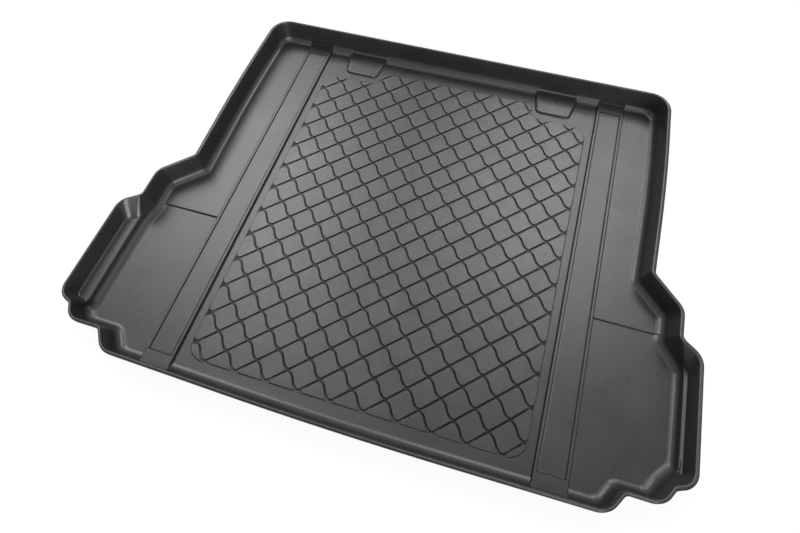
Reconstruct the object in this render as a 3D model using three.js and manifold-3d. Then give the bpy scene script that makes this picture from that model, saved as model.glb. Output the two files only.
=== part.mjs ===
// Car boot liner: a tray moulded in one piece from a tough flexible sheet. Its sides follow the
// boot, with a pocket behind each wheel arch, and its floor has two raised rails and many low pads.
// Millimetres. X runs across the car, +Y towards the seats, +Z up.
// The plan is laid out about the point midway between the rails and is centred at the end.

import * as THREE from 'three';
import { mergeGeometries, mergeVertices } from 'three/addons/utils/BufferGeometryUtils.js';
import Module from 'manifold-3d';

// Sheet, and the heights of what stands above the top of the floor
const SHEET = 3;
const RIM_RISE = 58;
const LEDGE_RISE = 22;
const RAIL_RISE = 6;
const TAB_RISE = 6;
const STRIP_RISE = 4;
const PAD_RISE = 1.8;

// Rim: a flange that falls a little outwards and ends in a short lip turned down
const FLANGE_WIDTH = 13;
const FLANGE_FALL = 2.5;
const FLANGE_ROUND = 5;
const LIP_DROP = 7;

// Walls: how far each leans out from the floor to the rim, and the round at the foot
const SIDE_LEAN_LEFT = 2;
const SIDE_LEAN_RIGHT = 9;
const FLARE_LEAN = 5;
const FAR_LEAN = 4;
const WING_LEAN = 10;
const POCKET_LEAN_LEFT = 5;
const POCKET_LEAN_RIGHT = 1.5;
const CORNER_LEAN = 8;
const NEAR_LEAN = 15;
const FOOT_RADIUS = 9;

// Outer edge of the rim, far part
const FAR_EDGE_Y = 487.5;
const FAR_CORNER_RADIUS = 50;
const SIDE_X = 524;
const SIDE_BOW = 6;
const SIDE_BOW_RADIUS = 4600;

// Outer edge of the rim, where each side flares out to its wing
const SHOULDER_Y_LEFT = -3;
const SHOULDER_Y_RIGHT = -13;
const SHOULDER_RADIUS = 12;
const FLARE_LENGTH = 64;
const FLARE_RADIUS = 38;
const WING_X_LEFT = 588.5;
const WING_X_RIGHT = 585.5;

// Outer edge of the rim round each wing pocket
const POCKET_X_LEFT = 633;
const POCKET_X_RIGHT = 626;
const POCKET_FAR_Y = -138;
const POCKET_FAR_RUN = 28;
const POCKET_NEAR_Y = -405;
const POCKET_NEAR_RUN = 12;
const POCKET_FAR_RADIUS = 40;
const POCKET_NEAR_RADIUS = 38;
const NOTCH_RADIUS = 9;
const NOTCH_X_LEFT = 599;
const NOTCH_X_RIGHT = 591;

// Outer edge of the rim along the near side
const WING_NEAR_Y = -447;
const WING_NEAR_X_LEFT = 582;
const WING_NEAR_X_RIGHT = 574;
const WING_NEAR_RADIUS = 36;
const NEAR_STEP_X = 512;
const NEAR_STEP_RADIUS = 13;
const NEAR_CORNER_X_LEFT = 483;
const NEAR_CORNER_X_RIGHT = 488;
const NEAR_CORNER_Y = -487;
const NEAR_CORNER_RADIUS = 40;
const NEAR_BOW = 11;
const NEAR_BOW_RADIUS = 11000;

// Ledge part of the way up the outer wall of each wing pocket
const LEDGE_LEFT = 27;
const LEDGE_RIGHT = 7;
const CORNER_STEP = 4;

// Rails that run from the near wall to the far wall, each with a shallow sunk panel
const RAIL_INNER_X = 364;
const RAIL_WIDTH = 66;
const RAIL_DRAFT = 1.5;
const PANEL_SIDE_MARGIN = 7;
const PANEL_FAR_Y = 442;
const PANEL_NEAR_Y = -447.5;
const PANEL_DEPTH = 1;

// Where each side strip steps down to its wing pocket
const STRIP_END_Y = -122;

// Tabs: raised tongues at the foot of the far wall
const TAB_X = 258;
const TAB_NEAR_Y = 399;
const TAB_NEAR_WIDTH = 86;
const TAB_FAR_WIDTH = 110;
const TAB_CORNER_RADIUS = 15;
const TAB_DRAFT = 3;

// Floor pads: a diamond lattice with straight channels one way and waved channels the other way
const CELL_WIDTH = 67.8;
const CELL_LENGTH = 66.85;
const LATTICE_X = 2;
const LATTICE_Y = -4.4;
const CHANNEL_WIDTH = 4.8;
const PAD_DRAFT = 1.8;
const CHANNEL_WAVE = 2.4;
const PAD_CORNER_CUT = 0.16;

// Outline of the padded area
const PADS_HALF_WIDTH = 347;
const PADS_NEAR_Y = -441;
const PADS_FAR_Y = 425;
const PADS_SIDE_FAR_Y = 379;
const PADS_STEP_X = 205;
const PADS_CORNER_RADIUS = 38;
const PADS_STEP_RADIUS = 22;
const PADS_REACH = 20;

// Finish
const CHARCOAL = 0x5d5e60;
const SHEET_ROUGHNESS = 0.62;

// Heights above the ground that follow from the values above
const FLOOR_TOP = SHEET;
const RIM_TOP = FLOOR_TOP + RIM_RISE;
const LEDGE_TOP = FLOOR_TOP + LEDGE_RISE;
const RAIL_TOP = FLOOR_TOP + RAIL_RISE;
const STRIP_TOP = FLOOR_TOP + STRIP_RISE;
const TAB_TOP = FLOOR_TOP + TAB_RISE;
const PAD_TOP = FLOOR_TOP + PAD_RISE;
const RAIL_OUTER_X = RAIL_INNER_X + RAIL_WIDTH;

// Facets of the largest, the usual and the smallest rounds of an outline
const BIG_ROUND_FACETS = 4;
const ROUND_FACETS = 3;
const SMALL_ROUND_FACETS = 2;

// Least radius of a rounded corner
const LEAST_RADIUS = 1;

// Small overlap that lets joined shapes pass into each other
const OVERLAP = 1;

const manifold = await Module();
manifold.setup();

// A corner of an outline: its place, its radius, its number of facets, and the lean of the wall
// that follows it round the outline.
function corner(x, y, radius, facets, lean) {
  return { x, y, radius, facets, lean };
}

// The rim's corners down the right side, from the far corner to the near corner. A side set back
// from the pocket's wall gives the lower wall under the ledge.
function sideCorners(side, setBack) {
  const [big, usual, small] = [BIG_ROUND_FACETS, ROUND_FACETS, SMALL_ROUND_FACETS];
  const shoulderY = side.shoulderY;
  const middleY = (FAR_EDGE_Y + shoulderY) / 2;
  const pocketX = side.pocketX - (setBack ? side.ledge : 0);
  const pocketFarY = POCKET_FAR_Y - POCKET_FAR_RUN;
  const step = setBack ? CORNER_STEP : 0;
  const nearY = WING_NEAR_Y + step;
  const notchY = POCKET_NEAR_Y - POCKET_NEAR_RUN + step;
  return [
    corner(SIDE_X, FAR_EDGE_Y, FAR_CORNER_RADIUS, big, side.lean),
    corner(SIDE_X + SIDE_BOW, middleY, SIDE_BOW_RADIUS, small, side.lean),
    corner(SIDE_X, shoulderY, SHOULDER_RADIUS, small, FLARE_LEAN),
    corner(side.wingX, shoulderY - FLARE_LENGTH, FLARE_RADIUS, usual, WING_LEAN),
    corner(side.wingX, POCKET_FAR_Y, NOTCH_RADIUS, small, FLARE_LEAN),
    corner(pocketX, pocketFarY, POCKET_FAR_RADIUS, usual, side.pocketLean),
    corner(pocketX, POCKET_NEAR_Y + step, POCKET_NEAR_RADIUS, usual, CORNER_LEAN),
    corner(side.notchX - step, notchY, NOTCH_RADIUS, small, CORNER_LEAN),
    corner(side.nearX - step, nearY, WING_NEAR_RADIUS, usual, NEAR_LEAN),
    corner(NEAR_STEP_X, nearY, NEAR_STEP_RADIUS, small, CORNER_LEAN),
    corner(side.cornerX, NEAR_CORNER_Y, NEAR_CORNER_RADIUS, usual, NEAR_LEAN),
  ];
}

// The same corners met from the near end. Each lean moves on by one, because the walls then come
// in the opposite order, and the wall after the last corner has a lean of its own.
function reversed(corners, lastLean) {
  const leans = [...corners.slice(0, -1).map((c) => c.lean).reverse(), lastLean];
  return [...corners].reverse().map((c, i) => ({ ...c, lean: leans[i] }));
}

// All corners of the rim, counter-clockwise seen from above.
function rimCorners(setBack) {
  const left = {
    shoulderY: SHOULDER_Y_LEFT,
    wingX: WING_X_LEFT,
    pocketX: POCKET_X_LEFT,
    notchX: NOTCH_X_LEFT,
    nearX: WING_NEAR_X_LEFT,
    cornerX: NEAR_CORNER_X_LEFT,
    ledge: LEDGE_LEFT,
    lean: SIDE_LEAN_LEFT,
    pocketLean: POCKET_LEAN_LEFT,
  };
  const right = {
    shoulderY: SHOULDER_Y_RIGHT,
    wingX: WING_X_RIGHT,
    pocketX: POCKET_X_RIGHT,
    notchX: NOTCH_X_RIGHT,
    nearX: WING_NEAR_X_RIGHT,
    cornerX: NEAR_CORNER_X_RIGHT,
    ledge: LEDGE_RIGHT,
    lean: SIDE_LEAN_RIGHT,
    pocketLean: POCKET_LEAN_RIGHT,
  };
  const nearMiddle = corner(0, NEAR_CORNER_Y - NEAR_BOW, NEAR_BOW_RADIUS, ROUND_FACETS, NEAR_LEAN);
  const leftDown = sideCorners(left, setBack).map((c) => ({ ...c, x: -c.x }));
  const rightUp = reversed(sideCorners(right, setBack), FAR_LEAN);
  return [...leftDown, nearMiddle, ...rightUp];
}

// The outline through a list of corners, with each side moved inwards by its own inset and each
// corner rounded. Every outline of the same corners has the same number of points.
function roundedOutline(corners, insetOf) {
  const count = corners.length;
  const sides = corners.map((c, i) => {
    const next = corners[(i + 1) % count];
    const along = new THREE.Vector2(next.x - c.x, next.y - c.y).normalize();
    const inwards = new THREE.Vector2(-along.y, along.x);
    const start = new THREE.Vector2(c.x, c.y).addScaledVector(inwards, insetOf(c));
    return { along, start };
  });
  return corners.flatMap((c, i) => {
    const before = sides[(i + count - 1) % count];
    const after = sides[i];
    const turn = before.along.cross(after.along);
    const between = after.start.clone().sub(before.start);
    const reach = between.cross(after.along) / turn;
    const point = before.start.clone().addScaledVector(before.along, reach);
    const side = Math.sign(turn);
    const radius = Math.max(c.radius - side * insetOf(c), LEAST_RADIUS);
    const angle = Math.asin(THREE.MathUtils.clamp(Math.abs(turn), 0, 1));
    const tangent = radius * Math.tan(angle / 2);
    const from = point.clone().addScaledVector(before.along, -tangent);
    const outwards = new THREE.Vector2(before.along.y, -before.along.x).multiplyScalar(side);
    const centre = from.clone().addScaledVector(outwards, -radius);
    const startAngle = outwards.angle();
    return Array.from({ length: c.facets + 1 }, (_, k) => {
      const a = startAngle + (side * angle * k) / c.facets;
      return new THREE.Vector2(Math.cos(a), Math.sin(a)).multiplyScalar(radius).add(centre);
    });
  });
}

// Surface through a stack of outlines with the same number of points. It is closed by a flat cap
// on the first outline and another on the last one.
function loft(rings) {
  const count = rings[0].points.length;
  const positions = rings.flatMap((r) => r.points.flatMap((p) => [p.x, p.y, r.z]));
  const faces = [];
  for (let r = 0; r + 1 < rings.length; r += 1) {
    for (let i = 0; i < count; i += 1) {
      const j = (i + 1) % count;
      const a = r * count;
      const b = a + count;
      faces.push(a + i, a + j, b + j, a + i, b + j, b + i);
    }
  }
  const last = (rings.length - 1) * count;
  THREE.ShapeUtils.triangulateShape(rings[0].points, []).forEach(([i, j, k]) => faces.push(i, k, j));
  THREE.ShapeUtils.triangulateShape(rings.at(-1).points, []).forEach(([i, j, k]) => {
    faces.push(last + i, last + j, last + k);
  });
  const geometry = new THREE.BufferGeometry();
  geometry.setAttribute('position', new THREE.Float32BufferAttribute(positions, 3));
  geometry.setIndex(faces);
  return geometry;
}

// Upright prism on an outline.
function prism(points, bottom, top) {
  return loft([
    { points, z: bottom },
    { points, z: top },
  ]);
}

function rectangle(x0, x1, y0, y1) {
  return [
    new THREE.Vector2(x0, y0),
    new THREE.Vector2(x1, y0),
    new THREE.Vector2(x1, y1),
    new THREE.Vector2(x0, y1),
  ];
}

// Turns a closed surface into a solid, without the empty faces that merged points leave.
function solidOf(geometry) {
  geometry.deleteAttribute('normal');
  geometry.deleteAttribute('uv');
  const merged = mergeVertices(geometry);
  const index = merged.index.array;
  const kept = [];
  for (let i = 0; i < index.length; i += 3) {
    const [a, b, c] = index.slice(i, i + 3);
    if (a !== b && b !== c && c !== a) kept.push(a, b, c);
  }
  const mesh = new manifold.Mesh({
    numProp: 3,
    vertProperties: merged.attributes.position.array,
    triVerts: new Uint32Array(kept),
  });
  return new manifold.Manifold(mesh);
}

function geometryOf(solid) {
  const mesh = solid.getMesh();
  const geometry = new THREE.BufferGeometry();
  geometry.setAttribute('position', new THREE.BufferAttribute(mesh.vertProperties, 3));
  geometry.setIndex(new THREE.BufferAttribute(mesh.triVerts, 1));
  geometry.computeVertexNormals();
  return geometry;
}

// Outline of a wall's face at one height. The extra inset is below 0 for the outer face.
function wallRing(corners, z, extra) {
  const share = (RIM_TOP - z) / RIM_RISE;
  const points = roundedOutline(corners, (c) => FLANGE_WIDTH + c.lean * share + extra);
  return { points, z };
}

// Outline at one distance in from the rim's outer edge.
function rimRing(corners, inset, z) {
  return { points: roundedOutline(corners, () => inset), z };
}

// Outer faces of the sheet, from the underside up to the flange.
function outerRings(lower, upper) {
  const ledgeUnder = LEDGE_TOP - SHEET;
  return [
    wallRing(lower, 0, -SHEET),
    wallRing(lower, ledgeUnder, -SHEET),
    wallRing(upper, ledgeUnder, -SHEET),
    wallRing(upper, RIM_TOP - SHEET, -SHEET),
  ];
}

// The flange and its lip, from the underside of the flange over to the inner crest.
function rimRings(upper) {
  const edgeTop = RIM_TOP - FLANGE_FALL;
  return [
    rimRing(upper, SHEET, edgeTop - SHEET),
    rimRing(upper, SHEET, edgeTop - LIP_DROP),
    rimRing(upper, 0, edgeTop - LIP_DROP),
    rimRing(upper, 0, edgeTop - FLANGE_FALL / 2),
    rimRing(upper, FLANGE_ROUND, RIM_TOP - FLANGE_FALL / 4),
    wallRing(upper, RIM_TOP, 0),
  ];
}

// Inner faces, from the ledge down to the round at the foot of the wall.
function innerRings(lower, upper) {
  const round = [Math.PI / 2, Math.PI / 4, 0].map((a) => {
    const z = FLOOR_TOP + FOOT_RADIUS * (1 - Math.cos(a));
    return wallRing(lower, z, FOOT_RADIUS * (1 - Math.sin(a)));
  });
  return [wallRing(upper, LEDGE_TOP, 0), wallRing(lower, LEDGE_TOP, 0), ...round];
}

// The rails, the side strips and the tabs, as blocks that reach past the walls.
function raisedBlocks() {
  const far = FAR_EDGE_Y;
  const near = NEAR_CORNER_Y - NEAR_BOW;
  const wide = Math.max(POCKET_X_LEFT, POCKET_X_RIGHT);
  const blocks = [];
  [-1, 1].forEach((side) => {
    const railMiddle = side * (RAIL_INNER_X + RAIL_WIDTH / 2);
    const foot = RAIL_WIDTH / 2 + RAIL_DRAFT;
    const crown = RAIL_WIDTH / 2;
    blocks.push(
      loft([
        { points: rectangle(railMiddle - foot, railMiddle + foot, near, far), z: OVERLAP },
        { points: rectangle(railMiddle - foot, railMiddle + foot, near, far), z: FLOOR_TOP },
        { points: rectangle(railMiddle - crown, railMiddle + crown, near, far), z: RAIL_TOP },
      ]),
    );
    const [x0, x1] = [side * (RAIL_OUTER_X - OVERLAP), side * wide].sort((a, b) => a - b);
    blocks.push(
      loft([
        { points: rectangle(x0, x1, STRIP_END_Y - RAIL_DRAFT, far), z: OVERLAP },
        { points: rectangle(x0, x1, STRIP_END_Y - RAIL_DRAFT, far), z: FLOOR_TOP },
        { points: rectangle(x0, x1, STRIP_END_Y, far), z: STRIP_TOP },
      ]),
    );
    blocks.push(
      loft([
        { points: tabOutline(side, 0), z: OVERLAP },
        { points: tabOutline(side, 0), z: FLOOR_TOP },
        { points: tabOutline(side, TAB_DRAFT), z: TAB_TOP },
      ]),
    );
  });
  return blocks.map(solidOf).reduce((all, block) => all.add(block));
}

// A tab seen from above: it widens towards the far wall and reaches past it.
function tabOutline(side, inset) {
  const x = side * TAB_X;
  const spread = (TAB_FAR_WIDTH - TAB_NEAR_WIDTH) / 2;
  const wallY = FAR_EDGE_Y - FLANGE_WIDTH;
  const farHalf = TAB_FAR_WIDTH / 2 + (spread * FLANGE_WIDTH) / (wallY - TAB_NEAR_Y);
  const corners = [
    corner(x - TAB_NEAR_WIDTH / 2, TAB_NEAR_Y, TAB_CORNER_RADIUS, ROUND_FACETS, 0),
    corner(x + TAB_NEAR_WIDTH / 2, TAB_NEAR_Y, TAB_CORNER_RADIUS, ROUND_FACETS, 0),
    corner(x + farHalf, FAR_EDGE_Y, LEAST_RADIUS, SMALL_ROUND_FACETS, 0),
    corner(x - farHalf, FAR_EDGE_Y, LEAST_RADIUS, SMALL_ROUND_FACETS, 0),
  ];
  return roundedOutline(corners, () => inset);
}

// What the underside lacks: the sheet has one thickness under the rails, strips and tabs.
function undersideHollows() {
  const far = FAR_EDGE_Y + OVERLAP;
  const near = NEAR_CORNER_Y - NEAR_BOW - OVERLAP;
  const wide = Math.max(POCKET_X_LEFT, POCKET_X_RIGHT) + OVERLAP;
  const hollows = [];
  [-1, 1].forEach((side) => {
    const rail = [side * (RAIL_INNER_X + SHEET), side * (RAIL_OUTER_X - SHEET)];
    const [r0, r1] = rail.sort((a, b) => a - b);
    hollows.push(prism(rectangle(r0, r1, near, far), -OVERLAP, RAIL_TOP - SHEET));
    const strip = [side * (RAIL_OUTER_X - SHEET - OVERLAP), side * wide];
    const [s0, s1] = strip.sort((a, b) => a - b);
    hollows.push(prism(rectangle(s0, s1, STRIP_END_Y + SHEET, far), -OVERLAP, STRIP_TOP - SHEET));
    hollows.push(prism(tabOutline(side, SHEET), -OVERLAP, TAB_TOP - SHEET));
  });
  return hollows.map(solidOf).reduce((all, hollow) => all.add(hollow));
}

// The shallow panel sunk in the top of each rail.
function railPanels() {
  const panels = [-1, 1].map((side) => {
    const edges = [RAIL_INNER_X + PANEL_SIDE_MARGIN, RAIL_OUTER_X - PANEL_SIDE_MARGIN];
    const [x0, x1] = edges.map((x) => side * x).sort((a, b) => a - b);
    const points = rectangle(x0, x1, PANEL_NEAR_Y, PANEL_FAR_Y);
    return prism(points, RAIL_TOP - PANEL_DEPTH, RAIL_TOP + OVERLAP);
  });
  return solidOf(mergeGeometries(panels));
}

// Outline of the padded area, which steps back round the tabs.
function padsOutline(inset) {
  const rightHalf = [
    corner(PADS_HALF_WIDTH, PADS_NEAR_Y, PADS_CORNER_RADIUS, ROUND_FACETS, 0),
    corner(PADS_HALF_WIDTH, PADS_SIDE_FAR_Y, PADS_CORNER_RADIUS, ROUND_FACETS, 0),
    corner(PADS_STEP_X, PADS_SIDE_FAR_Y, PADS_STEP_RADIUS, SMALL_ROUND_FACETS, 0),
    corner(PADS_STEP_X, PADS_FAR_Y, PADS_STEP_RADIUS, SMALL_ROUND_FACETS, 0),
  ];
  const leftHalf = [...rightHalf].reverse().map((c) => ({ ...c, x: -c.x }));
  return roundedOutline([...rightHalf, ...leftHalf], () => inset);
}

// One pad about its own centre. Its left and right corners are single points and its near and
// far corners are cut off. The waved channels tilt two of its sides.
function padOutline(gap) {
  const left = new THREE.Vector2(-CELL_WIDTH / 2, 0);
  const near = new THREE.Vector2(0, -CELL_LENGTH / 2);
  const inwards = new THREE.Vector2(CELL_LENGTH, CELL_WIDTH).normalize();
  const across = new THREE.Vector2(-CELL_LENGTH, CELL_WIDTH).normalize();
  const wave = (t) => CHANNEL_WAVE * Math.sin(2 * Math.PI * t);
  const right = left.clone().negate();
  const waved = left.clone().lerp(near, 1 - PAD_CORNER_CUT);
  waved.addScaledVector(inwards, gap + wave(1 - PAD_CORNER_CUT));
  const straight = near.clone().lerp(right, PAD_CORNER_CUT).addScaledVector(across, gap);
  const tip = right.clone().add(new THREE.Vector2(-gap * Math.SQRT2 - PAD_DRAFT, 0));
  const half = [waved, straight, tip];
  return [...half, ...half.map((p) => p.clone().negate())];
}

// All pads whose middle lies in the padded area or just outside it, trimmed to that area.
function floorPads() {
  const foot = padOutline(CHANNEL_WIDTH / 2);
  const crown = padOutline(CHANNEL_WIDTH / 2 + PAD_DRAFT);
  const area = padsOutline(-PADS_REACH);
  const columns = Math.ceil((2 * PADS_HALF_WIDTH) / CELL_WIDTH) + 1;
  const rows = Math.ceil((PADS_FAR_Y - PADS_NEAR_Y) / CELL_LENGTH) + 1;
  const pads = [];
  for (let i = -columns; i <= columns; i += 1) {
    for (let j = -rows; j <= rows; j += 1) {
      const middle = new THREE.Vector2(
        LATTICE_X + (i * CELL_WIDTH) / 2,
        LATTICE_Y + (j * CELL_LENGTH) / 2,
      );
      if ((i + j) % 2 !== 0 && inside(middle, area)) {
        const moved = (points) => points.map((p) => p.clone().add(middle));
        pads.push(
          loft([
            { points: moved(foot), z: FLOOR_TOP },
            { points: moved(crown), z: PAD_TOP },
          ]),
        );
      }
    }
  }
  const field = solidOf(mergeGeometries(pads));
  return field.intersect(solidOf(prism(padsOutline(0), 0, RIM_TOP)));
}

// Whether a point lies inside an outline, by counting the sides that a ray crosses.
function inside(point, outline) {
  const crossings = outline.filter((a, i) => {
    const b = outline[(i + 1) % outline.length];
    if (a.y > point.y === b.y > point.y) return false;
    return point.x < a.x + ((b.x - a.x) * (point.y - a.y)) / (b.y - a.y);
  });
  return crossings.length % 2 === 1;
}

function bootLiner() {
  const lower = rimCorners(true);
  const upper = rimCorners(false);
  const outer = outerRings(lower, upper);
  const tray = solidOf(loft([...outer, ...rimRings(upper), ...innerRings(lower, upper)]));
  const block = solidOf(loft(outer));
  return tray
    .add(raisedBlocks().intersect(block))
    .subtract(railPanels())
    .add(floorPads())
    .subtract(undersideHollows());
}

const geometry = geometryOf(bootLiner());
geometry.computeBoundingBox();
const box = geometry.boundingBox;
geometry.translate(-(box.min.x + box.max.x) / 2, -(box.min.y + box.max.y) / 2, -box.min.z);

const liner = new THREE.Mesh(
  geometry,
  new THREE.MeshStandardMaterial({ color: CHARCOAL, roughness: SHEET_ROUGHNESS, metalness: 0 }),
);
liner.name = 'boot_liner';

const model = new THREE.Group();
model.add(liner);

export default model;
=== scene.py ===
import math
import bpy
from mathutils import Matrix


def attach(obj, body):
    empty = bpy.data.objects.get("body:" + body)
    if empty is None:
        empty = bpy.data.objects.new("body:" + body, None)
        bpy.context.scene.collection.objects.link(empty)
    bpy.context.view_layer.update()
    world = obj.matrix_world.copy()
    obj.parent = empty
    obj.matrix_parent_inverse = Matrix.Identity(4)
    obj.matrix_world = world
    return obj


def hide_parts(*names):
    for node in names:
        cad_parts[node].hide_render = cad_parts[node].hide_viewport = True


bl_info = {
    "name": "Car boot liner",
    "version": (1, 0, 0),
    "blender": (4, 5, 0),
    "location": "3D View > Sidebar > Boot liner",
    "description": "Builds a moulded car boot liner, its finish and a plain studio",
    "category": "Add Mesh",
}

import bpy
import numpy as np
from bpy.props import FloatProperty, FloatVectorProperty, IntProperty, PointerProperty
from mathutils import Matrix, Vector
from mathutils.geometry import delaunay_2d_cdt

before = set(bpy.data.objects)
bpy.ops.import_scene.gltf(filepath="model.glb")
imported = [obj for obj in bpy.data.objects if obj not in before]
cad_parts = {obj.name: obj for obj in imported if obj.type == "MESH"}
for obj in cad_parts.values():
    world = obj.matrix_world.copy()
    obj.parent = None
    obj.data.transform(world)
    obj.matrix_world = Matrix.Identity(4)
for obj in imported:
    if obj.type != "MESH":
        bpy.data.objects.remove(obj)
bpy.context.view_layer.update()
CAD_NODE = "boot_liner"
BODY = "root"
MM = 0.001


# ---- settings ----


def length(name, description, millimetres):
    """A size that is shown as a length. Its default is given in millimetres."""
    return FloatProperty(
        name=name, description=description, default=millimetres * MM, precision=4, unit="LENGTH"
    )


def sides(name, description, left, right):
    """A length on the left and one on the right, with their defaults in millimetres."""
    return FloatVectorProperty(
        name=name, description=description, default=(left * MM, right * MM), size=2,
        precision=4, unit="LENGTH",
    )


def share(name, description, value):
    """A share from 0 to 1."""
    return FloatProperty(
        name=name, description=description, default=value, min=0, max=1, subtype="FACTOR"
    )


def strength(name, description, value):
    """The strength of a lamp."""
    return FloatProperty(name=name, description=description, default=value, min=0)


def colour(name, description, value):
    """A linear colour."""
    return FloatVectorProperty(
        name=name, description=description, default=value, size=3, min=0, max=1, subtype="COLOR"
    )


class LinerSizes(bpy.types.PropertyGroup):
    """Sheet, heights and rounds of the liner."""

    sheet: length("Sheet", "Thickness of the moulded sheet", 3)
    rim_rise: length("Rim rise", "Crest of the rim above the floor", 58)
    ledge_rise: length("Ledge rise", "Pocket ledges above the floor", 22)
    rail_rise: length("Rail rise", "Rails above the floor", 6)
    tab_rise: length("Tab rise", "Tabs above the floor", 6)
    strip_rise: length("Strip rise", "Side strips above the floor", 4)
    pad_rise: length("Pad rise", "Pads above their plateau", 2)
    plateau_rise: length("Plateau rise", "Padded area above the floor", 0.35)
    rim_fall: length("Rim fall", "Drop of the rim from its crest to its outer edge", 4.2)
    lip_drop: length("Lip drop", "Lip turned down at the outer edge", 7)
    ledge_round: length("Ledge round", "Round along the edge of the pocket ledges", 3.5)
    crease_round: length("Crease round", "Round behind the pocket ledges", 3)


class LinerOutline(bpy.types.PropertyGroup):
    """Outer edge of the rim, seen from above."""

    far_y: length("Far edge", "Far edge of the rim", 487.5)
    side: sides("Sides", "Edges of the rim at the ends of its sides", 527.5, 525)
    side_bow: length("Side bow", "How far the sides bow out", 7)
    shoulder: sides("Shoulders", "Where the sides flare out", -3, -13)
    flare: length("Flare length", "Length of each flare along the car", 64)
    wing: sides("Wings", "Edges of the rim before the pockets", 592, 586.5)
    pocket: sides("Pockets", "Edges of the rim round the pockets", 633, 626)
    pocket_far_y: length("Pocket far end", "Far notch of the pockets", -138)
    pocket_far_run: length("Pocket far run", "Length of the pockets' slanted far edge", 28)
    pocket_near_y: length("Pocket near end", "Near end of the pockets", -405)
    pocket_near_run: length("Pocket near run", "Length of the pockets' slanted near edge", 12)
    notch: sides("Near notches", "Notches at the pockets' near ends", 599, 591)
    wing_near_y: length("Wing near edge", "Near edge of the wings", -447)
    wing_near: sides("Near corners", "Near corners of the wings", 582, 574)
    step_x: length("Near step", "Where the near edge steps out", 512)
    corner: sides("Middle corners", "Corners of the near edge", 483, 488)
    corner_y: length("Near edge", "Near edge of the rim at its corners", -487)
    near_bow: length("Near bow", "How far the near edge bows out", 10.38)


class LinerPockets(bpy.types.PropertyGroup):
    """Ledges and walls of the wing pockets, measured to their faces."""

    crease: sides("Creases", "Feet of the pockets' upper walls", 617.5, 612)
    edge: sides("Ledge edges", "Edges of the ledges", 589, 604.8)
    foot: sides("Pocket feet", "Feet of the pockets' lower walls", 586, 604)
    far: sides("Ledge far ends", "Far ends of the ledges", -184, -188)
    near: sides("Ledge near ends", "Near ends of the ledges", -392, -380)


class LinerFloor(bpy.types.PropertyGroup):
    """Rails, strips, tabs and pads on the floor."""

    rail_x: length("Rail inner edge", "Inner edge of the rails", 364)
    rail_width: length("Rail width", "Width of the rails", 66)
    panel_margin: length("Panel margin", "Rail left beside its sunk panel", 7)
    panel_far_y: length("Panel far end", "Far end of the sunk panels", 442)
    panel_near_y: length("Panel near end", "Near end of the sunk panels", -447.5)
    panel_depth: length("Panel depth", "Depth of the groove round the sunk panels", 1.7)
    strip_y: length("Strip end", "Where the side strips step down", -122)
    tab_x: length("Tab", "Middle of the tabs", 258)
    tab_y: length("Tab near edge", "Near edge of the tabs", 399)
    tab_near_width: length("Tab near width", "Width of the tabs at their near edge", 86)
    tab_far_width: length("Tab far width", "Width of the tabs at the wall", 110)
    tab_radius: length("Tab corner", "Round of the tabs' near corners", 15)
    cell_width: length("Cell width", "Width of a diamond cell", 67.8)
    cell_length: length("Cell length", "Length of a diamond cell", 66.85)
    lattice_x: length("Lattice across", "Place of the lattice across the car", 2)
    lattice_y: length("Lattice along", "Place of the lattice along the car", -4.4)
    channel_width: length("Channel width", "Width of the channels between pads", 3.7)
    channel_wave: length("Channel wave", "Swing of the waved channels", 2.4)
    pads_half_width: length("Pads half width", "Half width of the padded area", 347)
    pads_near_y: length("Pads near edge", "Near edge of the padded area", -441)
    pads_far_y: length("Pads far edge", "Far edge of the padded area", 425)
    pads_side_y: length("Pads side edge", "Far edge of the padded area beside the tabs", 379)
    pads_step_x: length("Pads step", "Where the padded area steps round the tabs", 205)
    pads_radius: length("Pads corner", "Round of the padded area's corners", 38)
    pads_step_radius: length("Pads step round", "Round of the padded area's steps", 22)
    pad_facets: IntProperty(
        name="Pad facets", description="Points round each pad", default=48, min=16, max=128
    )


class LinerLooks(bpy.types.PropertyGroup):
    """Finish of the moulded sheet, with its painted shade and painted highlight."""

    dark: colour("Dark tone", "Darker tone of the sheet", (0.017, 0.017, 0.018))
    light: colour("Light tone", "Lighter tone of the sheet", (0.025, 0.025, 0.026))
    worn: colour("Worn tone", "Tone of the rubbed edges", (0.06, 0.06, 0.061))
    deep: colour("Deep tone", "Tone at the bottom of channels and grooves", (0.006, 0.006, 0.006))
    roughness: share("Roughness", "Roughness of the grained sheet", 0.29)
    gloss: share("Gloss", "Strength of the sheet's reflections", 0.38)
    rub: share("Rubbed edges", "How far the edges are rubbed paler", 0.5)
    grain_size: length("Grain size", "Size of the leather-like grain", 2.4)
    grain_depth: length("Grain depth", "Depth of the leather-like grain", 0.09)


class StudioLooks(bpy.types.PropertyGroup):
    """Camera, lamps and backdrop."""

    floor: colour("Floor", "Colour that the floor casts back on the liner", (0.3, 0.3, 0.3))
    shadow: share("Shadow", "How much of the liner's shadow shows on the floor", 0.08)
    sky: share("Sky", "Light from all round", 0.15)
    lens: FloatProperty(
        name="Lens", description="Focal length for a 36 mm sensor", default=22.603, unit="CAMERA"
    )
    left_lamp: strength("Left lamp", "Strength of the lamp on the left", 1.32)
    top_lamp: strength("Top lamp", "Strength of the lamp overhead", 0.35)
    right_lamp: strength("Right lamp", "Strength of the lamp at the far right", 1.15)
    near_lamp: strength("Near lamp", "Strength of the lamp above the camera", 0.5)
    back_lamp: strength("Back lamp", "Strength of the low lamp behind the camera", 2.1)
    low_lamp: strength("Low lamp", "Strength of the low lamp on the right", 0.3)
    lamp_spread: FloatProperty(
        name="Lamp spread", description="Angle that each lamp spans", default=math.radians(26),
        subtype="ANGLE",
    )


# ---- outlines in plan, in millimetres ----

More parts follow.
